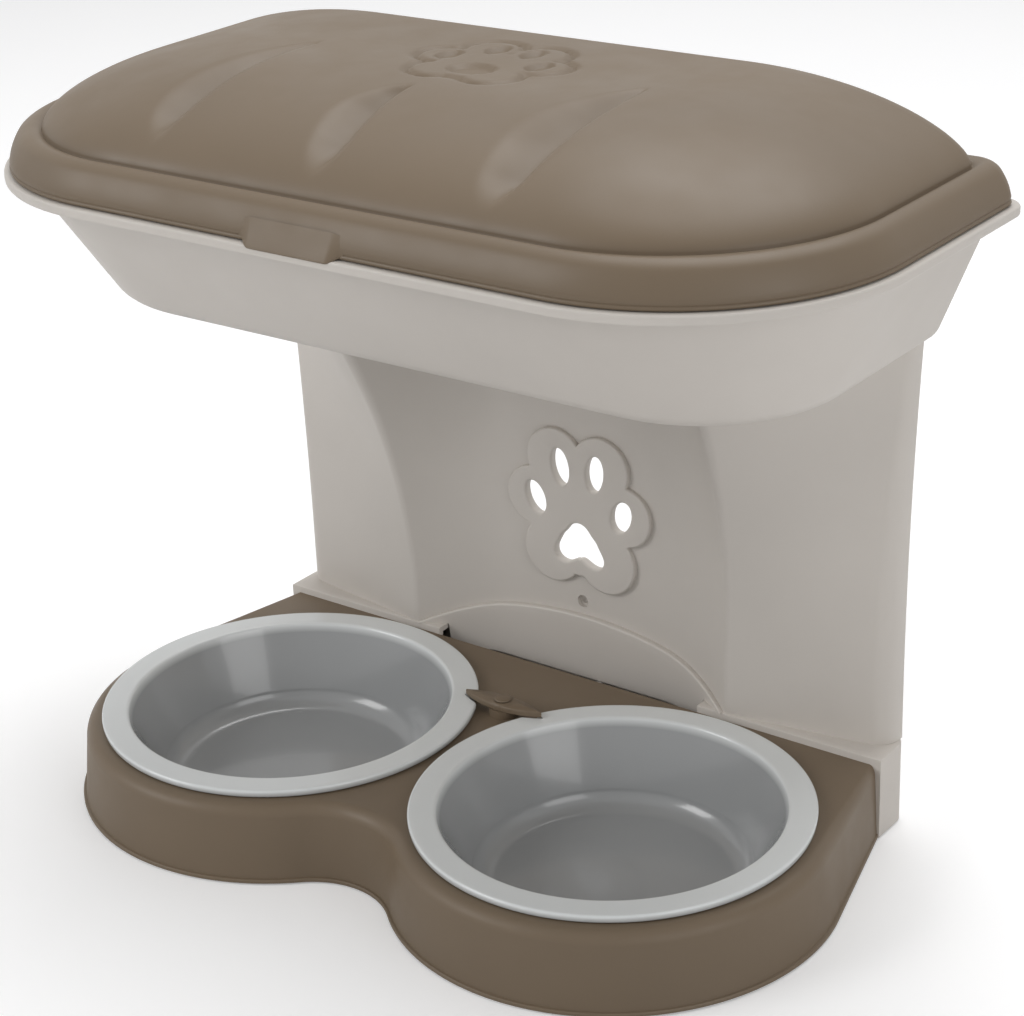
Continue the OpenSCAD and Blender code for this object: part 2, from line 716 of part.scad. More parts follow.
module storage_bin() {
    levels = [for (a = [0 : 30 : 90]) [bin_z + bin_round * (1 - cos(a)), bin_round * (1 - sin(a))]];
    color(BEIGE) in_place() difference() {
        union() {
            skin(concat(
                [for (k = levels) with_z(bin_outline(k[0], k[1]), k[0])],
                [with_z(bin_outline(flange_z - 1, 0), flange_z - 1)]
            ));
            translate([0, 0, flange_z - flange_t]) linear_extrude(flange_t)
                polygon(d_outline(flange_half, flange_front, flange_back, flange_corner, 12));
            for (s = [-1, 1]) for (e = [-1, 1])
                bin_ear(s * hinge_x + e * (hinge_eye_w + hinge_ear_w + 2 * AXIS_GAP) / 2);
        }
        skin([
            with_z(bin_outline(bin_z + bin_wall, bin_wall + bin_round / 2), bin_z + bin_wall),
            with_z(bin_outline(bin_z + bin_wall + bin_round, bin_wall), bin_z + bin_wall + bin_round),
            with_z(bin_outline(flange_z + 1, bin_wall), flange_z + 1)
        ]);
        for (p = bin_screw_places) translate([p[0], p[1], bin_z - 1])
            cylinder(r = screw_r + HOLE_GAP, h = bin_wall + 2);
        for (s = [-1, 1]) translate([s * hinge_x, axis_y, axis_z]) rotate([0, 90, 0])
            cylinder(r = hinge_pin_r + PRESS_FIT, h = 60, center = true);
    }
}

// One ear of the bin's hinge: an eye on an arm that rises from the flange.
module bin_ear(x) {
    translate([x - hinge_ear_w / 2, 0, 0]) {
        translate([0, axis_y, axis_z]) rotate([0, 90, 0]) cylinder(r = hinge_eye_r, h = hinge_ear_w);
        translate([0, flange_back - 4, flange_z - flange_t])
            cube([hinge_ear_w, axis_y - flange_back + 4, flange_t]);
        translate([0, axis_y - 4, flange_z - flange_t])
            cube([hinge_ear_w, 8, axis_z - flange_z + flange_t]);
    }
}

// The dome's outline at angle a up its curve, drawn in by g.
function dome_outline(a, g) =
    let(
        n = 1 - cos(a),
        half = skirt_half - skirt_lean - dome_step - dome_side_run * n - g,
        front = skirt_front - skirt_lean - dome_step - dome_front_run * n - g,
        back = skirt_back - ledge_d - dome_back_run * n - g,
        rf = max(8, min(skirt_corner - skirt_lean - 0.6 * dome_side_run * n - g, 0.9 * (front + back)))
    )
    d_outline(half, front, back, rf, max(3, 8 + 4 * n - g));

function dome_levels(g, base_z) = concat(
    [with_z(dome_outline(0, g), base_z)],
    [for (a = [0 : 11.25 : 90]) with_z(dome_outline(a, g), crease_z + (dome_h - g) * pow(sin(a), dome_bend))]
);

function skirt_outline(t, g) = d_outline(
    skirt_half - skirt_lean * t * t - g,
    skirt_front - skirt_lean * t * t - g,
    skirt_back - 2 * t * t - g,
    skirt_corner - skirt_lean * t * t - g,
    max(4, 12 - g)
);

module lid() {
    color(BROWN) in_place() difference() {
        union() {
            skin([for (t = [0 : 0.25 : 1]) with_z(skirt_outline(t, 0), skirt_z + skirt_h * t)]);
            skin(dome_levels(0, crease_z - 1));
            lid_tab();
            for (s = [-1, 1]) lid_eye(s * hinge_x);
        }
        skin([
            with_z(skirt_outline(0, lid_wall), skirt_z - 1),
            with_z(skirt_outline(0.5, lid_wall), skirt_z + skirt_h / 2),
            with_z(skirt_outline(1, lid_wall), crease_z - lid_wall)
        ]);
        skin(dome_levels(lid_wall, crease_z - lid_wall - 1));
        for (s = [-1, 1]) translate([s * hinge_x, axis_y, axis_z]) rotate([0, 90, 0])
            cylinder(r = hinge_pin_r + PIN_FIT, h = 60, center = true);
    }
}

// The finger tab hangs in front of the flange, clear of its edge.
module lid_tab() {
    face = -flange_front - 1 - lid_wall;
    root = 3;
    translate([-tab_w / 2, face, skirt_z - tab_drop]) cube([tab_w, lid_wall, tab_drop + 2 * root]);
    translate([-tab_w / 2, face, skirt_z + root]) cube([tab_w, lid_setback + 4, root]);
}

// One eye of the lid's hinge, on an arm from the back of the skirt.
module lid_eye(x) {
    translate([x - hinge_eye_w / 2, 0, 0]) {
        translate([0, axis_y, axis_z]) rotate([0, 90, 0]) cylinder(r = hinge_eye_r, h = hinge_eye_w);
        translate([0, skirt_back - 1.5, axis_z - 3]) cube([hinge_eye_w, axis_y - skirt_back + 1.5, 9]);
    }
}

module hinge_pin(s) {
    len = hinge_eye_w + 2 * (hinge_ear_w + AXIS_GAP) + 2;
    color(STEEL) in_place() translate([s * hinge_x, axis_y, axis_z]) rotate([0, 90, 0])
        cylinder(r = hinge_pin_r, h = len, center = true);
}

module lid_hinge_pin_left() hinge_pin(-1);

module lid_hinge_pin_right() hinge_pin(1);

// A pan-head screw that points down, with the underside of its head at the origin.
module screw() {
    translate([0, 0, -screw_len]) cylinder(r = screw_r, h = screw_len + EPS);
    difference() {
        cylinder(r1 = screw_head_r, r2 = screw_head_r - 0.8, h = screw_head_h);
        for (a = [0, 90]) rotate([0, 0, a]) translate([-2.4, -0.5, screw_head_h - 1]) cube([4.8, 1, 2]);
    }
}

module tray_screws() {
    color(STEEL) in_place() for (x = tray_screw_xs)
        translate([x, tray_back - tray_wall, tray_screw_z]) rotate([90, 0, 0]) screw();
}

module foot_screws() {
    color(STEEL) in_place() for (x = foot_screw_xs)
        translate([x, foot_screw_y, foot_top - foot_screw_deep]) rotate([180, 0, 0]) screw();
}

module bin_screws() {
    color(STEEL) in_place() for (p = bin_screw_places)
        translate([p[0], p[1], bin_z + bin_wall]) screw();
}

module pad() {
    cylinder(r = pad_r, h = pad_t);
}

module tray_pads() {
    color(BLACK) in_place() at_tray_pads() pad();
}

module foot_pads() {
    color(BLACK) in_place() for (p = foot_pad_places) translate([p[0], p[1], 0]) pad();
}

bowl_tray();
bowl_left();
bowl_right();
bowl_latch();
latch_pin();
column_foot();
column();
paw_plate();
storage_bin();
lid();
lid_hinge_pin_left();
lid_hinge_pin_right();
tray_screws();
foot_screws();
bin_screws();
tray_pads();
foot_pads();
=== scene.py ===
import math

import bmesh
import bpy
import numpy as np
from mathutils import Matrix, Vector
from mathutils.geometry import delaunay_2d_cdt


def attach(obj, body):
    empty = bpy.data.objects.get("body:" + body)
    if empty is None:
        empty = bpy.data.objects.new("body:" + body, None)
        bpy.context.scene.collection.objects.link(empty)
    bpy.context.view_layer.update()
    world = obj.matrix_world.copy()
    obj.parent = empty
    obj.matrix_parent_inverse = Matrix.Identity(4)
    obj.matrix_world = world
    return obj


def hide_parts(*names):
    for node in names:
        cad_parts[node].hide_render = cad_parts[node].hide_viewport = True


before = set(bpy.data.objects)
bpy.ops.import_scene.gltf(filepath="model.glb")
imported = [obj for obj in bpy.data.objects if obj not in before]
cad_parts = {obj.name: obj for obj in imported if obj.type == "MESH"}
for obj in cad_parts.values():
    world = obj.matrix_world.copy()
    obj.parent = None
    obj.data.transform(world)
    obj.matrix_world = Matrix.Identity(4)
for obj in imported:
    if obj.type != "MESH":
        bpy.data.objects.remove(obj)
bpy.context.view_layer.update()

# Bowl tray: one brown injection moulding, a figure-eight deck on a flared skirt with a
# thin lip on the floor. It is open underneath, with two round openings for the bowls,
# ribs and pad bosses. Everything here is in millimetres from midway between the bowls.


def arc(centre, r, a, b, steps):
    """Points on the circle of radius r about a centre, from angle a to angle b in degrees."""
    t = np.radians(np.linspace(a, b, steps + 1))
    return np.array(centre, float) + r * np.stack([np.cos(t), np.sin(t)], 1)


def grid(points, around=False, along=False):
    """Four-sided faces between neighbours in an (m, n, 3) array of points. around joins the
    last column to the first, and along joins the last row to the first."""
    m, n = points.shape[:2]
    i = np.arange(m if along else m - 1)[:, None]
    j = np.arange(n if around else n - 1)[None, :]
    a, b = i * n + j, i * n + (j + 1) % n
    k = (i + 1) % m * n
    return points.reshape(-1, 3), np.stack([a, b, k + (j + 1) % n, k + j], 2).reshape(-1, 4)


def cap(points):
    """One flat face over a closed row of points."""
    return points, np.arange(len(points))[None, :]


def at_height(points, z):
    """Flat points (n, 2) and a height or n heights, as (n, 3)."""
    return np.column_stack([points, np.broadcast_to(z, len(points))])


def build(name, parts, sharp=40):
    """A mesh object from (points, faces) pairs in millimetres from midway between the bowls,
    which lies 17.6 mm ahead of the footprint's middle. Points that meet are joined, all
    faces turn outward, and edges sharper than the angle stay sharp."""
    points, faces, start = [], [], 0
    for p, f in parts:
        points.append(p)
        faces += (f + start).tolist()
        start += len(p)
    points = (np.concatenate(points) - [0, 17.6, 0]) / 1000
    mesh = bpy.data.meshes.new(name)
    mesh.from_pydata(points.tolist(), [], faces)
    work = bmesh.new()
    work.from_mesh(mesh)
    bmesh.ops.remove_doubles(work, verts=work.verts, dist=3e-6)
    bmesh.ops.dissolve_degenerate(work, edges=work.edges, dist=1e-6)
    bmesh.ops.recalc_face_normals(work, faces=work.faces)
    work.to_mesh(mesh)
    work.free()
    piece = bpy.data.objects.new(name, mesh)
    bpy.context.scene.collection.objects.link(piece)
    soften(piece, sharp)
    return piece


def soften(piece, sharp):
    """Smooth shading, with edges sharper than the angle left sharp."""
    mesh = piece.data
    mesh.polygons.foreach_set("use_smooth", np.ones(len(mesh.polygons), bool))
    mesh.set_sharp_from_angle(angle=math.radians(sharp))


def cut(piece, cutters, sharp=40):
    """Takes the closed cutters away from a closed piece, and removes them."""
    for cutter in cutters:
        step = piece.modifiers.new("cut", "BOOLEAN")
        step.operation, step.solver, step.object = "DIFFERENCE", "EXACT", cutter
    bpy.context.view_layer.update()
    mesh = bpy.data.meshes.new_from_object(piece.evaluated_get(bpy.context.evaluated_depsgraph_get()))
    piece.modifiers.clear()
    piece.data = mesh
    for cutter in cutters:
        bpy.data.objects.remove(cutter)
    soften(piece, sharp)


def block(x, y, z):
    """A closed box between pairs of x, y and z."""
    ring = np.array([[x[0], y[0]], [x[1], y[0]], [x[1], y[1]], [x[0], y[1]]], float)
    return prism(ring, z[0], z[1])


def prism(ring, low, high):
    """A closed upright block over a flat outline (n, 2), as one (points, faces) list."""
    rows = np.stack([at_height(ring, low), at_height(ring, high)])
    return [grid(rows, around=True), cap(rows[0]), cap(rows[1])]


def post(x, y, r, low, high):
    """A closed upright cylinder."""
    return prism(arc((x, y), r, 0, 350, 35), low, high)


def group(name, inputs, outputs):
    """An empty shader node group with named number or colour inputs and outputs."""
    tree = bpy.data.node_groups.new(name, "ShaderNodeTree")
    for label, kind in inputs:
        tree.interface.new_socket(label, in_out="INPUT", socket_type="NodeSocket" + kind)
    for label, kind in outputs:
        tree.interface.new_socket(label, in_out="OUTPUT", socket_type="NodeSocket" + kind)
    return tree, tree.nodes.new("NodeGroupInput"), tree.nodes.new("NodeGroupOutput")


def math_node(tree, kind, a, b):
    """A Math node of two sockets or numbers; returns its output."""
    node = tree.nodes.new("ShaderNodeMath")
    node.operation = kind
    for socket, value in zip(node.inputs, (a, b)):
        if isinstance(value, (int, float)):
            socket.default_value = value
        else:
            tree.links.new(value, socket)
    return node.outputs[0]


def speckle(tree, size, detail, offset):
    """Noise over the object's own coordinates, with features of a size in metres."""
    where = tree.nodes.new("ShaderNodeTexCoord")
    shift = tree.nodes.new("ShaderNodeMapping")
    shift.inputs["Location"].default_value = offset
    noise = tree.nodes.new("ShaderNodeTexNoise")
    noise.inputs["Detail"].default_value = detail
    tree.links.new(where.outputs["Object"], shift.inputs["Vector"])
    tree.links.new(shift.outputs["Vector"], noise.inputs["Vector"])
    tree.links.new(math_node(tree, "DIVIDE", 1.0, size), noise.inputs["Scale"])
    return noise.outputs["Fac"]


def remap(tree, value, a, b, c, d):
    """Maps the range a to b onto c to d, clamped."""
    node = tree.nodes.new("ShaderNodeMapRange")
    tree.links.new(value, node.inputs["Value"])
    for label, number in zip(("From Min", "From Max", "To Min", "To Max"), (a, b, c, d)):
        node.inputs[label].default_value = number
    return node.outputs["Result"]


# Fine spark-eroded grain of a mould: a height of small pits over a slow waviness.
grain_group, into, out = group(
    "mould_grain", [("Size", "Float"), ("Waviness", "Float")], [("Height", "Float")])
fine = speckle(grain_group, into.outputs["Size"], 3, (0.1, 0.2, 0.3))
wide = math_node(grain_group, "MULTIPLY", into.outputs["Size"], 40.0)
slow = speckle(grain_group, wide, 1, (0.7, 0.1, 0.4))
slow = math_node(grain_group, "MULTIPLY", slow, into.outputs["Waviness"])
grain_group.links.new(math_node(grain_group, "ADD", fine, slow), out.inputs["Height"])

# Slow drift of a moulding's colour, with faint flow clouds and specks of dust.
drift_group, into, out = group(
    "colour_drift", [("Color", "Color"), ("Amount", "Float"), ("Size", "Float")], [("Color", "Color")])
cloud = remap(drift_group, speckle(drift_group, into.outputs["Size"], 3, (0.3, 0.9, 0.2)), 0.3, 0.7, -1, 1)
tiny = math_node(drift_group, "MULTIPLY", into.outputs["Size"], 0.012)
dust = speckle(drift_group, tiny, 2, (0.5, 0.3, 0.8))
dust = remap(drift_group, dust, 0.62, 0.8, 0, 0.8)
swing = math_node(drift_group, "MULTIPLY", math_node(drift_group, "ADD", cloud, dust), into.outputs["Amount"])
value = drift_group.nodes.new("ShaderNodeHueSaturation")
drift_group.links.new(math_node(drift_group, "ADD", swing, 1.0), value.inputs["Value"])
drift_group.links.new(into.outputs["Color"], value.inputs["Color"])
drift_group.links.new(value.outputs["Color"], out.inputs["Color"])

# Convex edges found by pointiness, broken up by noise: 1 where the edge is lightened, as rubbed wear and as a painted
# highlight along the edge.
edge_wear_highlight_group, into, out = group("edge_wear_and_highlight", [("Amount", "Float"), ("Size", "Float")], [("Mask", "Float")])
shape = edge_wear_highlight_group.nodes.new("ShaderNodeNewGeometry")
edge = remap(edge_wear_highlight_group, shape.outputs["Pointiness"], 0.52, 0.6, 0, 1)
patch = remap(edge_wear_highlight_group, speckle(edge_wear_highlight_group, into.outputs["Size"], 4, (0.2, 0.6, 0.9)), 0.35, 0.65, 0.2, 1)
edge = math_node(edge_wear_highlight_group, "MULTIPLY", edge, patch)
edge_wear_highlight_group.links.new(math_node(edge_wear_highlight_group, "MULTIPLY", edge, into.outputs["Amount"]), out.inputs["Mask"])

# Smudges from handling: a roughness that wanders about its mean.
smudge_group, into, out = group("smudges", [("Roughness", "Float"), ("Spread", "Float"), ("Size", "Float")],
                                [("Roughness", "Float")])
smear = remap(smudge_group, speckle(smudge_group, into.outputs["Size"], 4, (0.8, 0.4, 0.6)), 0.3, 0.7, -1, 1)
smear = math_node(smudge_group, "MULTIPLY", smear, into.outputs["Spread"])
smear = math_node(smudge_group, "ADD", smear, into.outputs["Roughness"])
smudge_group.links.new(smear, out.inputs["Roughness"])


def use(tree, kind, **values):
    """Places a node group in a material with its own values."""
    node = tree.nodes.new("ShaderNodeGroup")
    node.node_tree = kind
    for label, value in values.items():
        node.inputs[label].default_value = value
    return node


def surface(name, colour, rough, grain, depth, drift=0.035, wear_and_highlight=0.12, metal=0.0, coat=0.0, worn_and_lit=1.35):
    """A Principled material: sRGB colour 0 to 255, mean roughness, grain size and depth in
    metres, share of colour drift and of edge wear with its painted edge highlight, metallic and coat."""
    linear = [(c / 255 / 12.92) if c < 10.3 else ((c / 255 + 0.055) / 1.055) ** 2.4 for c in colour]
    material = bpy.data.materials.new(name)
    material.use_nodes = True
    tree = material.node_tree
    shader = tree.nodes["Principled BSDF"]
    tone = use(tree, drift_group, Color=(*linear, 1), Amount=drift, Size=0.09)
    rub_and_highlight = use(tree, edge_wear_highlight_group, Amount=wear_and_highlight, Size=0.006)
    # Painted highlight and rubbed wear: convex edges lighten towards a lighter copy of the colour.
    mix = tree.nodes.new("ShaderNodeMix")
    mix.data_type = "RGBA"
    tree.links.new(rub_and_highlight.outputs["Mask"], mix.inputs["Factor"])
    tree.links.new(tone.outputs["Color"], mix.inputs["A"])
    mix.inputs["B"].default_value = (*[min(1, c * worn_and_lit + 0.01) for c in linear], 1)
    tree.links.new(mix.outputs["Result"], shader.inputs["Base Color"])
    smear = use(tree, smudge_group, Roughness=rough, Spread=rough * 0.12, Size=0.03)
    tree.links.new(smear.outputs["Roughness"], shader.inputs["Roughness"])
    pits = use(tree, grain_group, Size=grain, Waviness=0.6)
    bump = tree.nodes.new("ShaderNodeBump")
    bump.inputs["Distance"].default_value = depth
    bump.inputs["Strength"].default_value = 0.6
    tree.links.new(pits.outputs["Height"], bump.inputs["Height"])
    tree.links.new(bump.outputs["Normal"], shader.inputs["Normal"])
    shader.inputs["Metallic"].default_value = metal
    shader.inputs["Specular IOR Level"].default_value = 0.5 if coat or metal else 0.35
    if coat:
        shader.inputs["Coat Weight"].default_value = coat
        shader.inputs["Coat Roughness"].default_value = 0.06
    return material


def dress(piece, material, slot, body, *replaced):
    """Gives a piece its material and its body, and hides what it stands for; the slot is not used."""
    piece.data.materials.clear()
    piece.data.materials.append(material)
    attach(piece, body)
    if replaced:
        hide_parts(*replaced)


BOWL_X = 103  # from the middle to each bowl's centre
OPENING_R = 89  # the round openings
TRAY_REAR = 106  # the flat rear face
LATCH_Y = 51  # the latch's pin, behind the bowls' centres
DECK = 41.7  # the deck's top


def tray_outline(g):
    """The tray's outline grown by g: two lobes of radius 101.8 + g about (-103, 0) and
    (103, 0), a hollow waist of radius 54 - g in front, and sides that run straight from
    the lobes to the rear corners at (187 + 0.45 g, 106)."""
    r, waist = 101.8 + g, 54 - g
    down = math.sqrt((r + waist) ** 2 - BOWL_X**2)
    turn = math.degrees(math.atan2(down, BOWL_X))
    cx = 84 + 0.45 * g
    lean = math.degrees(math.atan2(TRAY_REAR, cx) - math.acos(r / math.hypot(cx, TRAY_REAR)))
    right = arc((BOWL_X, 0), r, 180 + turn, 360 + lean, 110)
    side = np.linspace(right[-1], [187 + 0.45 * g, TRAY_REAR], 25)[1:]
    half = np.concatenate([arc((0, -down), waist, 90, 180 - turn, 24)[:-1] * [-1, 1], right, side])
    rear = np.linspace(half[-1], [0, TRAY_REAR], 50)[1:]
    half = np.concatenate([half, rear])
    return np.concatenate([half, half[-2:0:-1] * [-1, 1]])


ground = tray_outline(12)
outer = [(12, 1.0), (12.1, 1.5), (12.1, 2.4), (11.7, 2.9), (10.6, 3.1), (10.3, 4.5)]
outer += [(10.3 - 3.3 * t, 4.5 + 30.2 * t) for t in (0.15, 0.35, 0.55, 0.75, 0.9)]
outer += [(7 * math.cos(a), 34.7 + 7 * math.sin(a)) for a in np.radians(np.linspace(0, 90, 15))]
inner = [(0, 39.2), (2.5, 38.6), (4.5, 34.7), (7.8, 3.5), (8, 1)]
skirt = np.stack([at_height(tray_outline(g), z) for g, z in outer])
lining = np.stack([at_height(tray_outline(g), z) for g, z in inner])
parts = [grid(skirt, around=True), grid(lining, around=True)]
parts.append(grid(np.stack([lining[-1], skirt[0]]), around=True))
# The deck: straight lines from each half outline in to that lobe's round opening.
edge = tray_outline(0)
count = len(edge) // 2
half = np.concatenate([edge[: count + 1], np.linspace([0, TRAY_REAR], edge[0], 60)[1:-1]])
turns = np.arctan2(half[:, 1], half[:, 0] - BOWL_X)
for side in (1, -1):
    hole = np.stack([BOWL_X + OPENING_R * np.cos(turns), OPENING_R * np.sin(turns)], 1)
    rows = [at_height(hole + (half - hole) * t, DECK) for t in np.linspace(1, 0.02, 12)]
    rows += [at_height(hole, z) for z in (41.4, 39.5)]
    rows += [at_height(hole + (half - hole) * t, 39.2) for t in (0.02, 0.5, 1)]
    rows = np.stack(rows) * [side, 1, 1]
    parts.append(grid(rows, around=True))
for x, y in ((61.95, -72.02), (62, 90)):
    for side in (-1, 1):
        parts += post(side * (BOWL_X + x), y, 10.5, 1, 40)
parts += block((-61.25, -58.75), (94, 104), (12, 39.5)) + block((58.75, 61.25), (94, 104), (12, 39.5))
parts += block((-1.25, 1.25), (4, 104), (20, 39.5)) + post(0, LATCH_Y, 7.5, 29.7, 46.1)
tray = build("bowl_tray_moulding", parts)
brown = surface("brown_plastic", (117, 102, 84), 0.46, 0.0005, 0.00005, wear_and_highlight=0.1)
dress(tray, brown, "brown_plastic", "base", "bowl_tray")

# Bowls: two glossy pale injection-moulded bowls with a broad flat rim, dropped into the
# tray's openings. Each rim has half of a leaf-shaped notch where the latch lies.


def leaf(half_long, half_wide, steps=24):
    """A pointed leaf: the lens where two equal circles overlap."""
    r = (half_long**2 + half_wide**2) / (2 * half_wide)
    a = math.degrees(math.asin(half_long / r))
    top = arc((0, half_wide - r), r, 90 - a, 90 + a, steps)
    return np.concatenate([top[:-1], -top[:-1]])


white = surface("bowl_plastic", (222, 225, 225), 0.2, 0.0009, 0.000012,
                drift=0.015, wear_and_highlight=0.05, worn_and_lit=1.05, coat=0.35)
outside = np.concatenate([
    [[0.01, 2], [20, 2]], arc((58, 16), 14, -90, -12, 14), [[87.5, 41.6], [87.9, 42], [92, 42], [98, 42]],
    arc((98.8, 43), 1, -90, 0, 4), arc((98.8, 44.8), 1.2, 0, 90, 5), [[97, 46], [92, 46], [88.6, 46]],
    arc((87.5, 44), 2, 90, 168, 7), arc((58, 16), 12, -12, -90, 18), [[50, 4], [30, 4], [0.01, 4]]])
# Painted shade inside the bowl: the wall below the rim gets a darker grey; the mask is 1 on the rim, 0 on the wall
# below it.
inner_shade_group, into, out = group("bowl_inner_shade", [("Low", "Float"), ("Span", "Float")], [("Mask", "Float")])
where = inner_shade_group.nodes.new("ShaderNodeTexCoord")
axes = inner_shade_group.nodes.new("ShaderNodeSeparateXYZ")
inner_shade_group.links.new(where.outputs["Object"], axes.inputs["Vector"])
share = math_node(inner_shade_group, "SUBTRACT", axes.outputs["Z"], into.outputs["Low"])
share = math_node(inner_shade_group, "DIVIDE", share, into.outputs["Span"])
inner_shade_group.links.new(remap(inner_shade_group, share, 0, 1, 0, 1), out.inputs["Mask"])
tree = white.node_tree
shader = tree.nodes["Principled BSDF"]
# Painted shade: the darker grey base colour of the bowl's inside, blended in below the rim.
shade_blend = tree.nodes.new("ShaderNodeMix")
shade_blend.data_type = "RGBA"
shade_blend.inputs["A"].default_value = (0.35, 0.358, 0.362, 1)
tree.links.new(use(tree, inner_shade_group, Low=0.0415, Span=0.0035).outputs["Mask"], shade_blend.inputs["Factor"])
tree.links.new(shader.inputs["Base Color"].links[0].from_socket, shade_blend.inputs["B"])
tree.links.new(shade_blend.outputs["Result"], shader.inputs["Base Color"])
turns = np.radians(np.linspace(0, 360, 193)[:-1])
for side, name in ((-1, "bowl_left"), (1, "bowl_right")):
    rows = np.stack([np.stack([side * BOWL_X + r * np.cos(turns), r * np.sin(turns), np.full(192, z)], 1)
                     for r, z in outside])
    bowl = build(name + "_moulding", [grid(rows, around=True), cap(rows[0]), cap(rows[-1])])
    notch = build("notch", prism(leaf(25.7, 7.2) + [0, LATCH_Y], 40.5, 47))
    cut(bowl, [notch], 30)
    dress(bowl, white, "bowl_plastic", name, name)

# Bowl latch and its pin: a small brown leaf with a raised hub that turns on a pin
# pressed into the tray, and holds both rims down. The pin's head is slightly domed.
HUB_R, LATCH_FOOT = 6.4, 46.4
turns = np.radians(np.linspace(0, 360, 145)[:-1])
shape = leaf(24.5, 6, 300)
spin = np.arctan2(shape[:, 1], shape[:, 0])
order = np.argsort(spin)
reach = np.interp(turns, np.mod(spin[order], 2 * np.pi), np.hypot(*shape[order].T), period=2 * np.pi)
ways = np.stack([np.cos(turns), np.sin(turns)], 1)
rows = []
for share, rise in ((1, 0), (1, 2.1), (0.97, 2.7), (0.9, 3)):
    flat = np.where(reach > HUB_R, reach - (1 - share) * 8, HUB_R - (1 - share) * 4)
    flat = np.maximum(flat, 6.0)
    rows.append(at_height(ways * flat[:, None], LATCH_FOOT + rise))
for r, rise in ((5.9, 3.3), (5.5, 3.55), (4.8, 3.6), (2.55, 3.6), (2.55, 0)):
    rows.append(at_height(ways * r, LATCH_FOOT + rise))
rows = np.stack(rows) + [0, LATCH_Y, 0]
latch = build("latch_leaf", [grid(rows, around=True, along=True)], 50)
dress(latch, brown, "brown_plastic", "latch", "bowl_latch")
head = [(0.01, 29.7), (2.5, 29.7), (2.5, 50.3), (4.3, 50.3), (4.5, 50.5), (4.4, 50.9),
        (3.8, 51.25), (2.6, 51.43), (0.01, 51.5)]
rows = np.stack([at_height(ways * r, z) for r, z in head]) + [0, LATCH_Y, 0]
pin = build("latch_pin_head", [grid(rows, around=True), cap(rows[0]), cap(rows[-1])], 50)
dress(pin, brown, "brown_plastic", "base", "latch_pin")

# Column foot: a pale hollow moulded block behind the tray, screwed to it. Its top has a
# pocket in front for the foot of the column's arch; screws go up into the column.


FOOT_TOP, FOOT_HALF, FOOT_BACK = 45.5, 193, 135
SCREW_XS, SCREW_Y = (-165, -118, 118, 165), 125.5


def foot_outline(g):
    """The foot's outline drawn in by g: square at the tray, rounded at the rear corners."""
    r = max(10 - g, 2)
    right = np.concatenate([np.linspace([0, TRAY_REAR + g], [FOOT_HALF - g, TRAY_REAR + g], 20),
                            arc((FOOT_HALF - g - r, FOOT_BACK - g - r), r, 0, 90, 12)])
    return np.concatenate([right, (right * [-1, 1])[::-1]])


def section(z):
    """The column's front at height z, right half then left: points and outward ways. With
    t from 0 at z 76 to 1 at the bin, the side stands at 190.5 + 5.5 t^2, a corner of
    radius 12 leads to the flank, which runs to a ridge of radius 6 whose centre leans
    forward by 62 t^2, and a curve leads back from it to the flat middle panel."""
    t = max(0, (z - 76) / 187)
    hx = 190.5 + 5.5 * t * t
    c, g = np.array([hx - 12, 130]), np.array([103 + 13 * t, 113 - 62 * t * t])
    w = c - g
    flank = math.degrees(math.atan2(w[1], w[0]) - math.acos(-6 / math.hypot(*w)))
    sag = 132 - g[1]
    steep = math.atan(1.9 * sag / (g[0] - 50))
    p1 = g + 6 * np.array([-math.sin(steep), -math.cos(steep)])
    bend, p2 = np.array([p1[0] - (126 - p1[1]) / math.tan(steep), 126]), np.array([50, 126])
    u = np.linspace(0, 1, 29)[1:, None]
    curve = (1 - u) ** 2 * p1 + 2 * u * (1 - u) * bend + u * u * p2
    way = 2 * (1 - u) * (bend - p1) + 2 * u * (p2 - bend)
    way = np.stack([-way[:, 1], way[:, 0]], 1) / np.linalg.norm(way, axis=1, keepdims=True)
    a = math.degrees(-math.pi / 2 - steep)
    corner, ridge = arc((0, 0), 1, 0, flank, 12), arc((0, 0), 1, flank, a, 16)
    run = np.linspace(c + 12 * corner[-1], g + 6 * ridge[0], 26)[1:-1]
    flat = np.stack([np.linspace(50, 0, 24)[1:], np.full(23, 126.0)], 1)
    points = np.concatenate([[[hx, 133]], c + 12 * corner, run, g + 6 * ridge, curve, flat])
    ways = np.concatenate([[[1, 0]], corner, np.repeat(corner[-1:], 24, 0), ridge, way,
                           np.tile([0, -1], (23, 1))])
    return np.concatenate([points, points[-2::-1] * [-1, 1]]), np.concatenate([ways, ways[-2::-1] * [-1, 1]])


levels = [(0, 1), (0, 15), (0, 30), (0, 44.9), (0.2, 45.3), (0.6, FOOT_TOP), (4, FOOT_TOP)]
rows = np.stack([at_height(foot_outline(g), z) for g, z in levels])
foot = build("column_foot_moulding", [grid(rows, around=True), cap(rows[0]), cap(rows[-1])])
rows = np.stack([at_height(foot_outline(3), z) for z in (0, 42.5)])
hollow = build("hollow", [grid(rows, around=True), cap(rows[0]), cap(rows[1])])
face, ways = section(FOOT_TOP)
face = (face - ways)[np.abs(face[:, 0]) < 85]
ring = np.concatenate([face, [[-85, face[-1, 1]], [-85, 105], [85, 105], [85, face[0, 1]]]])
pocket = build("pocket", prism(ring, 31.5, 47))
cut(foot, [hollow, pocket], 35)
beige = surface("beige_plastic", (204, 198, 191), 0.5, 0.0005, 0.00005, drift=0.025, wear_and_highlight=0.08, worn_and_lit=1.12)
dress(foot, beige, "beige_plastic", "base", "column_foot")
parts = []
for x in SCREW_XS:
    parts += post(x, SCREW_Y, 6.5, 38.5, 44)
for x in (-140, -65, 10, 85, 160):
    parts += block((x, x + 3), (107, 132), (9, 31))
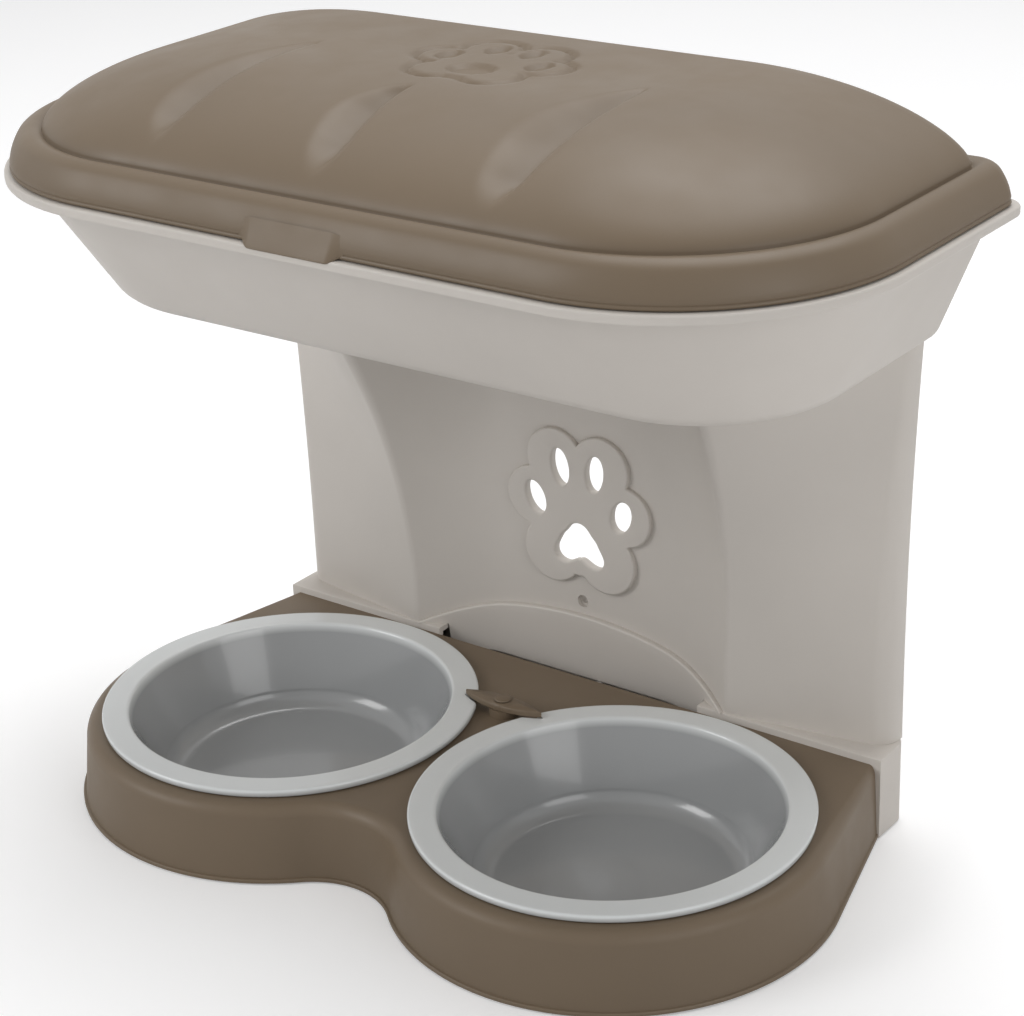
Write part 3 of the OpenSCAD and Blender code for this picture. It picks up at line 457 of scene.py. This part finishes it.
for x in (-135, 135):
    parts += post(x, 121, 10.5, 4, 44)
dress(build("column_foot_ribs", parts), beige, "beige_plastic", "base", "column_foot")

# Column: a pale moulded shell, open at the back. Two ridges sweep forward under the bin
# on either side of a hollow middle panel, which has paw-shaped holes, a counterbored
# wall fixing and a raised arch at its foot.


BIN_FLOOR, PAW_Z, FIXING_Z = 263, 132, 76


def rays(centre, discs, steps, soft=0):
    """The outline of overlapping ellipses seen from a centre inside them: in each of the
    directions, the farthest crossing, averaged over the given number of neighbours to each
    side. A disc is (x, y, half width, half height, turn)."""
    t = np.radians(np.linspace(0, 360, steps + 1)[:-1])
    far = np.zeros(steps)
    for x, y, a, b, turn in discs:
        c, s = math.cos(math.radians(turn)), math.sin(math.radians(turn))
        px, py = centre[0] - x, centre[1] - y
        ox, oy = (px * c + py * s) / a, (-px * s + py * c) / b
        dx = (np.cos(t) * c + np.sin(t) * s) / a
        dy = (-np.cos(t) * s + np.sin(t) * c) / b
        k, h, m = dx * dx + dy * dy, ox * dx + oy * dy, ox * ox + oy * oy - 1
        inside = h * h - k * m
        far = np.maximum(far, np.where(inside > 0, (-h + np.sqrt(np.maximum(inside, 0))) / k, 0))
    far = np.mean([np.roll(far, k) for k in range(-soft, soft + 1)], 0)
    return np.array(centre) + far[:, None] * np.stack([np.cos(t), np.sin(t)], 1)


def paw_holes(g):
    """Outlines of the paw print's four toes and its three-lobed pad, grown by g."""
    toes = [rays((s * x, y), [(s * x, y, a + g, b + g, s * turn)], 72)
            for x, y, a, b, turn in ((27.5, 0.5, 6, 9.5, -20), (11, 21.5, 5.5, 10.5, -8)) for s in (-1, 1)]
    pad = [(0, -19.5, 8.5 + g, 10.5 + g, 0)] + [(s * 8.5, -27, 8 + g, 6 + g, s * -28) for s in (-1, 1)]
    pad += [(s * 5.5, -21.5, 8 + g, 6.5 + g, s * -48) for s in (-1, 1)]
    return toes + [rays((0, -23), pad, 120, 4)]


def upright(ring, y0, y1):
    """A closed block along Y over an outline in x and z."""
    rows = np.stack([np.insert(ring, 1, y, axis=1) for y in (y0, y1)])
    return [grid(rows, around=True), cap(rows[0]), cap(rows[1])]


heights = np.concatenate([np.linspace(FOOT_TOP, 76, 12)[:-1], np.linspace(76, BIN_FLOOR, 70)])
pairs = [section(z) for z in heights]
front = np.stack([at_height(p, z) for (p, w), z in zip(pairs, heights)])
back = np.stack([at_height(p - 3 * w, z) for (p, w), z in zip(pairs, heights)])
parts = [grid(np.concatenate([front, back[::-1]]), along=True)]
for rows in (np.stack([front[:, 0], back[:, 0]]), np.stack([front[:, -1], back[:, -1]])):
    parts.append(grid(rows))
shell = build("column_shell", parts, 45)
cutters = [build("hole", upright(ring + [0, PAW_Z], 120, 135)) for ring in paw_holes(1)]
disc = arc((0, 0), 1, 0, 350, 35)
cutters.append(build("hole", upright(disc * 3.6 + [0, FIXING_Z], 120, 135)))
cut(shell, cutters, 45)
dress(shell, beige, "beige_plastic", "base", "column")

LOW = FOOT_TOP - 0.1  # the arch's lower edge, just inside the foot
# The arch: a pad 3.5 mm proud of the panel, whose top is a wide circle's and rounded off.
x = np.linspace(-99.6, 99.6, 181)
radius = (100**2 + 23**2) / 46
crown = 68.5 - radius + np.sqrt(radius**2 - x**2)
plan = section(50)[0]
panel = np.interp(x, plan[::-1, 0], plan[::-1, 1])
rows = [np.stack([x, panel + 1.5, crown], 1)]
for a in np.radians(np.linspace(0, 90, 7)):
    rounded = np.maximum(crown - 1.4 * (1 - math.cos(a)), LOW)
    rows.append(np.stack([x, panel - 3.5 + 1.4 * (1 - math.sin(a)), rounded], 1))
low = np.where(np.abs(x) < 84, 32.0, LOW)
for t in np.linspace(0, 1, 8)[1:]:
    rows.append(np.stack([x, panel - 3.5, np.maximum(crown - 1.4, LOW) * (1 - t) + low * t], 1))
rows.append(np.stack([x, panel + 1.5, low], 1))
rows = np.stack(rows)
parts = [grid(rows, along=True), cap(rows[:, 0]), cap(rows[:, -1])]
arch = build("column_arch", parts, 50)
dress(arch, beige, "beige_plastic", "base", "column")

# Behind the shell: floor and roof plates, ribs, screw bosses and the fixing's boss.
parts = []
for z0, z1 in ((FOOT_TOP, 48.5), (259, BIN_FLOOR)):
    plan, ways = section(z0)
    parts += prism(plan - 1.5 * ways, z0, z1)
for side in (-1, 1):
    parts += block(sorted((side * 57, side * 59)), (128, 133), (46.5, 261))
    parts += block(sorted((side * 102, side * 104)), (117, 133), (46.5, 261))
for x, y in ((128, 92), (160, 118)):
    parts += post(-x, y, 5, 243, 261) + post(x, y, 5, 243, 261)
for x in SCREW_XS:
    parts += post(x, SCREW_Y, 5, 46.5, 61.5)
dress(build("column_ribs", parts), beige, "beige_plastic", "base", "column")
boss = build("fixing_boss", upright(disc * 5.6 + [0, FIXING_Z], 128.4, 133))
cut(boss, [build("hole", upright(disc * 2.25 + [0, FIXING_Z], 120, 135))])
dress(boss, beige, "beige_plastic", "base", "column")

# Paw plate: a pale paw-shaped plate pegged onto the panel round the see-through paw
# print. Its outer edge and the edges of its holes are rounded.


def inset(ring, d):
    """A closed outline moved inward by d, along the normals of its neighbours."""
    way = np.roll(ring, -1, 0) - np.roll(ring, 1, 0)
    way = np.stack([-way[:, 1], way[:, 0]], 1) / np.linalg.norm(way, axis=1, keepdims=True)
    return ring + d * way


discs = [(0, -8, 32, 32, 0)]
discs += [(s * x, y, r, r, 0) for x, y, r in ((29, 1, 17), (14.5, 25, 18), (17, -28, 18.5)) for s in (-1, 1)]
loops = [rays((0, -8), discs, 288)] + [ring[::-1] for ring in paw_holes(0)]
parts, flat = [], []
for ring in loops:
    profile = [(0, 126)] + [(1.3 * (1 - math.sin(a)), 124.3 - 1.3 * math.cos(a))
                            for a in np.radians(np.linspace(90, 0, 7))]
    rows = [np.insert(inset(ring, d), 1, y, axis=1) for d, y in profile]
    parts.append(grid(np.stack(rows), around=True))
    flat.append((ring, inset(ring, 1.3)))
for pick, y in ((0, 126.0), (1, 123.0)):
    points = np.concatenate([pair[pick] for pair in flat])
    sides, start = [], 0
    for pair in flat:
        n = len(pair[0])
        sides += [(start + k, start + (k + 1) % n) for k in range(n)]
        start += n
    flat_points, _, faces, _, _, _ = delaunay_2d_cdt([Vector(p) for p in points], sides, [], 2, 1e-6)
    flat_points = np.array([tuple(p) for p in flat_points])
    middles = np.array([flat_points[list(f)].mean(0) for f in faces])
    keep = np.ones(len(faces), bool)
    for k, pair in enumerate(flat):
        ring = pair[pick]
        a, b = ring, np.roll(ring, -1, 0)
        over = (a[None, :, 1] > middles[:, None, 1]) != (b[None, :, 1] > middles[:, None, 1])
        rise = np.where(b[:, 1] == a[:, 1], 1, b[:, 1] - a[:, 1])
        cross = a[:, 0] + (middles[:, None, 1] - a[:, 1]) * (b[:, 0] - a[:, 0]) / rise
        held = (np.sum(over & (middles[:, None, 0] < cross), 1) % 2) == 1
        keep &= held if k == 0 else ~held
    kept = np.array([list(f) for f, ok in zip(faces, keep) if ok])
    parts.append((np.insert(flat_points, 1, y, axis=1), kept))
for k, (points, faces) in enumerate(parts):
    parts[k] = (points + [0, 0, PAW_Z], faces)
plate = build("paw_plate_moulding", parts, 35)
dress(plate, beige, "beige_plastic", "base", "paw_plate")

# Storage bin: a pale moulded tub with drafted walls, a flange round its mouth and the
# ears of its two hinges behind. Four screws hold it down on the column.


def d_grid(profile, corner, long, side):
    """Level outlines: each row of the profile is (z, half width, front, back, front corner
    radius, rear corner radius). A ring starts at the left end of the left front corner and
    has the given numbers of steps in a corner, along the front or back, and up a side."""
    rings = []
    for z, half, front, back, rf, rb in profile:
        left = arc((-half + rf, -front + rf), rf, 180, 270, corner)
        right = arc((half - rf, -front + rf), rf, 270, 360, corner)
        far_right = arc((half - rb, back - rb), rb, 0, 90, corner)
        far_left = arc((-half + rb, back - rb), rb, 90, 180, corner)
        ring = [left, np.linspace(left[-1], right[0], long + 1)[1:-1], right,
                np.linspace(right[-1], far_right[0], side + 1)[1:-1], far_right,
                np.linspace(far_right[-1], far_left[0], long + 1)[1:-1], far_left,
                np.linspace(far_left[-1], left[0], side + 1)[1:-1]]
        rings.append(at_height(np.concatenate(ring), z))
    return np.stack(rings)


def bin_wall(z, g):
    """The tub at height z, drawn in by g: t is 0 under the flange and 1 at the floor."""
    t = (330.5 - z) / 67.5
    return (z, 232 - 28 * t - g, 78 - 46 * t - g, 133 - g, 100 - 30 * t - g, 10 - min(g, 8))


profile = [bin_wall(BIN_FLOOR, 16), bin_wall(BIN_FLOOR, 9)]
profile += [bin_wall(BIN_FLOOR + 8 * (1 - math.cos(a)), 8 * (1 - math.sin(a)))
            for a in np.radians(np.linspace(0, 90, 9))]
profile += [bin_wall(z, 0) for z in (285, 300, 315, 328.5)]
profile += [(330, 232.3, 78.3, 132.9, 100.3, 10), (330.5, 233.2, 79.2, 133, 101.2, 10.5)]
profile += [(z, 245 - g, 91 - g, 135 - g, 113 - g, 12 - g) for z, g in
            ((330.5, 1.2), (330.75, 0.5), (331.3, 0.1), (332, 0),
             (334.2, 0), (334.9, 0.2), (335.3, 0.6), (335.5, 1.3))]
profile += [(335.5, 231.2, 77.2, 131.8, 99.2, 9), (335.1, 230.2, 76.2, 131, 98.4, 8.4)]
profile += [bin_wall(z, 3) for z in (333, 318, 300, 282, 274)]
profile += [bin_wall(266 + 8 * (1 - math.sin(a)), 3 + 7 * (1 - math.cos(a)))
            for a in np.radians(np.linspace(15, 90, 7))]
profile += [bin_wall(266, 16)]
rows = d_grid(profile, 24, 24, 8)
bin_parts = [grid(rows, around=True), cap(rows[0]), cap(rows[-1])]
tub = build("storage_bin_moulding", bin_parts, 38)
dress(tub, beige, "beige_plastic", "base", "storage_bin")


PIN = (143, 340)  # y and z of the hinge pins
HINGE_X = 115  # each hinge from the middle


def eye(x, width, arm):
    """A hinge eye of radius 6 with a hole for the pin, and an arm in the y and z ranges."""
    rows = []
    for r, inset in ((2.52, 0), (5.5, 0), (6, 0.5), (6, width - 0.5), (5.5, width), (2.52, width)):
        ring = arc(PIN, r, 0, 351, 39)
        rows.append(np.insert(ring, 0, x - width / 2 + inset, axis=1))
    return [grid(np.stack(rows), around=True, along=True)] + [
        part for y, z in arm for part in block((x - width / 2 + 0.02, x + width / 2 - 0.02), y, z)]


parts = []
for side in (-1, 1):
    for e in (-11, 11):
        parts += eye(side * HINGE_X + e, 8, [((131, 143), (330.6, 335.4)), ((139.2, 146.8), (330.6, 336))])
dress(build("storage_bin_ears", parts), beige, "beige_plastic", "base", "storage_bin")

# Lid: a brown moulded dome over a soft convex skirt, with a groove round its foot, a
# ledge behind, three pressed scoops, an embossed paw, a finger tab and two hinge eyes.
SCOOPS = [
    # Heights y of the stations, then the left and right edges there.
    ((-70, -60, -47, -30, -8, 15, 38, 55), (-106, -111, -118, -123, -122, -116, -105, -94),
     (-102, -98, -96, -95.5, -96, -96, -95.5, -93)),
    ((-72, -63, -52, -40, -28, -15, 0, 12), (-9, -14, -19, -23.5, -26.5, -26, -18, -4),
     (-5, 1, 3, 2.5, 0.5, -1.5, -3, -3)),
    ((-72, -63, -50, -32, -10, 12, 35, 54), (86, 81, 76, 72, 70, 74, 84, 96),
     (90, 99, 103, 103.5, 103, 102, 99.5, 97)),
]


def ease(t):
    """Smooth step from 0 to 1."""
    t = np.clip(t, 0, 1)
    return t * t * (3 - 2 * t)


def relief(x, y):
    """How deep the lid is pressed in at each point. A scoop falls evenly from its left edge
    and rises fast to its right edge; it is deepest where it is widest, and fades out at
    its lower end. The paw is an outline pressed in by 2 mm with dimples for the toes."""
    depth = np.zeros_like(x)
    for ys, left, right in SCOOPS:
        fine = np.linspace(ys[0], ys[-1], 200)
        blur = np.hanning(25) / np.hanning(25).sum()
        le = np.convolve(np.pad(np.interp(fine, ys, left), 12, "edge"), blur, "valid")
        ri = np.convolve(np.pad(np.interp(fine, ys, right), 12, "edge"), blur, "valid")
        a, b = np.interp(y, fine, le), np.interp(y, fine, ri)
        u = (x - a) / np.maximum(b - a, 0.5)
        cross = ease(u / 0.8) * ease((1 - u) / 0.24)
        fade = ease((y - ys[0]) / 26) * ease((ys[-1] - y) / 10)
        wide = np.clip((b - a) / 26, 0, 1)
        depth += np.where((u > 0) & (y > ys[0]) & (y < ys[-1]), 6.8 * cross * fade * wide, 0)
    px, py = (x - 4) / 1.15, (y - 58) / 1.03
    discs = ((0, -7, 24), (-24, 2, 13.5), (24, 2, 13.5), (-12, 20, 14), (12, 20, 14),
             (-13, -20, 14), (13, -20, 14))
    shape = np.min([np.hypot(px - cx, py - cy) - r for cx, cy, r in discs], 0)
    depth += 2 * np.exp(-((shape / 1.6) ** 2))
    toes = ((-23, 2, 4.5, 7), (23, 2, 4.5, 7), (-9, 19, 4, 7), (9, 19, 4, 7), (0, -15, 10, 8.5))
    for cx, cy, a, b in toes:
        depth += 2 * ease((1.15 - np.hypot((px - cx) / a, (py - cy) / b)) / 0.3)
    return depth


def sink(rows, ring=True):
    """Presses the relief into a grid of points, along its own downward normals."""
    along = np.gradient(rows, axis=0)
    around = (np.roll(rows, -1, 1) - np.roll(rows, 1, 1)) if ring else np.gradient(rows, axis=1)
    way = np.cross(around, along)
    way /= np.maximum(np.linalg.norm(way, axis=2, keepdims=True), 1e-9)
    way *= np.where(way[..., 2:] > 0, 1, -1)
    return rows - way * relief(rows[..., 0], rows[..., 1])[..., None]


def dome(a, g):
    """The dome's outline a degrees up its curve, drawn in by g, and its height there."""
    n = 1 - math.cos(math.radians(a))
    front, back = 73 - 100 * n - g, 118 - 4 * n - g
    rf = max(8, min(102 - 64.8 * n - g, 0.9 * (front + back)))
    height = 355 + (33 - g) * math.sin(math.radians(a)) ** 1.3
    return (height, 227 - 108 * n - g, front, back, rf, max(3, 8 + 4 * n - g))


def skirt_row(t, g, z):
    """The skirt's outline at t from 0 at its foot to 1 at its top, drawn in by g."""
    s = 8 * t * t
    return (z, 242 - s - g, 88 - s - g, 132 - 2 * t * t - g, 110 - s - g, max(4, 12 - g))


profile = [skirt_row(0, 2.5, 337), skirt_row(0, 1.9, 336.1), skirt_row(0, 1.2, 336), skirt_row(0, 0.3, 336.2),
           skirt_row(0, 0, 336.9), skirt_row(0.05, 0.1, 337.6), skirt_row(0.1, 0.6, 338.1), skirt_row(0.12, 0.3, 338.7)]
profile += [skirt_row(t, 0, 336 + 19 * t) for t in (0.18, 0.28, 0.4, 0.52, 0.64, 0.74)]
profile += [skirt_row(0.8 + 0.2 * math.sin(a), 4.2 * (1 - math.cos(a)), 351.2 + 3.8 * math.sin(a))
            for a in np.radians(np.linspace(0, 90, 8))]
profile += [(354.7, 229.2, 75.2, 119.4, 103.6, 8.5), (353.9, 228.2, 74.2, 118.6, 102.8, 8.2),
            (353.6, 227.4, 73.4, 118.2, 102.3, 8)]
profile += [(354.2, 227, 73, 118, 102, 8)]
steps = 90 * np.linspace(0, 1, 78)[1:] ** 0.92
lower = d_grid(profile, 48, 110, 44)
upper = d_grid([dome(a, 0) for a in [1.2] + list(steps)], 48, 110, 44)
rim = upper[-1]
n_front = 48 + 110 + 48
south, east = rim[: n_front + 1], rim[n_front : n_front + 45]
north = rim[n_front + 44 : 2 * n_front + 45][::-1]
west = np.concatenate([rim[2 * n_front + 44 :], rim[:1]])[::-1]
u = np.linspace(0, 1, n_front + 1)[None, :, None]
v = np.linspace(0, 1, 45)[:, None, None]
top = (1 - v) * south + v * north + (1 - u) * west[:, None] + u * east[:, None] - (
    (1 - u) * (1 - v) * south[0] + u * (1 - v) * south[-1] + (1 - u) * v * north[0] + u * v * north[-1])
edge_down = relief(rim[:, 0], rim[:, 1])
pressed = sink(upper)
pressed[-1] = rim - edge_down[:, None] * [0, 0, 1]
top = top - relief(top[..., 0], top[..., 1])[..., None] * np.array([0, 0, 1])
parts = [grid(np.concatenate([lower, pressed]), around=True), grid(top)]
# The inside hangs lower towards the top, so that the pressed scoops do not come through it.
profile = [skirt_row(0, 2.5, 337), skirt_row(0.5, 2.5, 345.5), skirt_row(1, 2.5, 352.5),
           (352.4, 224.6, 70.6, 115.6, 99.6, 6)]
profile += [dome(a, 2.6) for a in (4, 12, 22, 34, 46, 58, 70, 80, 90)]
profile[4:] = [(row[0] - 3.5 - 0.09 * (row[0] - 356), *row[1:]) for row in profile[4:]]
under = d_grid(profile, 48, 110, 44)
parts += [grid(under, around=True), cap(under[-1])]
cover = build("lid_moulding", parts, 60)
dress(cover, brown, "brown_plastic", "lid", "lid")
parts = []
for side in (-1, 1):
    parts += eye(side * HINGE_X, 13, [((128.6, 143), (337.2, 345.8))])
# The tab swells out of the skirt and hangs just below it, and dies away at its ends.
tab = np.array([(-86, 347), (-87.8, 343.5), (-89.8, 339.5), (-91.7, 335.8), (-92, 334.8),
                (-91.6, 334.2), (-91, 334.2), (-90.5, 335), (-89.6, 337.5), (-87, 340), (-85.5, 346)])
flat = np.array([(-85.6, 346), (-86.7, 343), (-87.5, 340), (-87.7, 338.2),
                 (-87.6, 337.6), (-87.3, 337.2), (-87, 337.2), (-86.8, 337.4), (-86.4, 338), (-86, 340), (-85.5, 344)])
x = np.concatenate([np.linspace(-30, -22, 9), np.linspace(-18, 18, 7), np.linspace(22, 30, 9)])
swell = ease((30 - np.abs(x)) / 8)[:, None, None]
across = np.broadcast_to(x[:, None, None], (len(x), len(tab), 1))
rows = np.concatenate([across, flat + (tab - flat) * swell], 2)
parts += [grid(rows, around=True), cap(rows[0]), cap(rows[-1])]
dress(build("lid_fittings", parts, 35), brown, "brown_plastic", "lid", "lid")

# Hinge pins and screws: bright zinc-plated steel, as packed. The pins are pressed into
# the bin's ears; the screws hold tray, foot, column and bin together.
steel = surface("steel", (190, 192, 194), 0.28, 0.0004, 0.00002, drift=0.05, wear_and_highlight=0.2, metal=1.0, worn_and_lit=1.15)
for name in ("lid_hinge_pin_left", "lid_hinge_pin_right", "tray_screws", "foot_screws", "bin_screws"):
    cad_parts[name].data.materials.clear()
    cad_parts[name].data.materials.append(steel)

# Pads: six black rubber discs pressed into the tray and the foot, which stand on the floor.
rubber = surface("rubber", (40, 40, 41), 0.75, 0.0012, 0.0001, drift=0.1, wear_and_highlight=0.3, worn_and_lit=1.6)
for name in ("tray_pads", "foot_pads"):
    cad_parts[name].data.materials.clear()
    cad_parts[name].data.materials.append(rubber)

# Stage: a white floor that keeps the shadow, a white surround, soft lamps from the
# front left, and the camera where the photograph was taken from.
bpy.ops.mesh.primitive_plane_add(size=16, location=(0, 0, 0))
floor = bpy.context.object
floor.name = "floor"
paper = bpy.data.materials.new("paper")
paper.use_nodes = True
tree = paper.node_tree
shader = tree.nodes["Principled BSDF"]
tone = use(tree, drift_group, Color=(0.86, 0.86, 0.865, 1), Amount=0.008, Size=0.4)
tree.links.new(tone.outputs["Color"], shader.inputs["Base Color"])
shader.inputs["Roughness"].default_value = 0.9
shader.inputs["Specular IOR Level"].default_value = 0.1
seen = tree.nodes.new("ShaderNodeLightPath")
glow = math_node(tree, "MULTIPLY", seen.outputs["Is Camera Ray"], 0.24)
tree.links.new(glow, shader.inputs["Emission Strength"])
shader.inputs["Emission Color"].default_value = (1, 1, 1, 1)
floor.data.materials.append(paper)

world = bpy.data.worlds.new("surround")
bpy.context.scene.world = world
world.use_nodes = True
tree = world.node_tree
background = tree.nodes["Background"]
background.inputs["Color"].default_value = (1, 1, 1, 1)
seen = tree.nodes.new("ShaderNodeLightPath")
bright = math_node(tree, "MAXIMUM", seen.outputs["Is Camera Ray"], math_node(
    tree, "MULTIPLY", seen.outputs["Is Glossy Ray"], 0.8))
tree.links.new(math_node(tree, "MAXIMUM", bright, 0.38), background.inputs["Strength"])


def lamp(name, place, size, power):
    """A square soft lamp that points at the middle of the object."""
    light = bpy.data.lights.new(name, "AREA")
    light.size, light.energy = size, power
    holder = bpy.data.objects.new(name, light)
    holder.location = place
    holder.rotation_euler = (Vector((0, 0, 0.15)) - Vector(place)).to_track_quat("-Z", "Y").to_euler()
    bpy.context.scene.collection.objects.link(holder)


lamp("key", (-1.7, -2.0, 1.5), 1.3, 27)
lamp("top", (-0.1, 0.9, 2.5), 1.8, 36)
lamp("fill", (2.2, -0.6, 0.9), 1.4, 12)

camera = bpy.data.objects.new("camera", bpy.data.cameras.new("camera"))
bpy.context.scene.collection.objects.link(camera)
azimuth, elevation, roll = np.radians([37.038, 23.902, -2.31])
back = np.array([math.sin(azimuth) * math.cos(elevation), -math.cos(azimuth) * math.cos(elevation),
                 math.sin(elevation)])
right = np.cross([0, 0, 1], back)
right /= np.linalg.norm(right)
up = np.cross(back, right)
right, up = math.cos(roll) * right + math.sin(roll) * up, math.cos(roll) * up - math.sin(roll) * right
turn = np.eye(4)
turn[:3, 0], turn[:3, 1], turn[:3, 2], turn[:3, 3] = right, up, back, (0.7038, -0.8849, 0.6721)
camera.matrix_world = Matrix(turn.tolist())
camera.data.sensor_width, camera.data.lens = 36, 87.88
camera.data.clip_end = 50
bpy.context.scene.camera = camera
bpy.context.scene.view_settings.view_transform = "Standard"
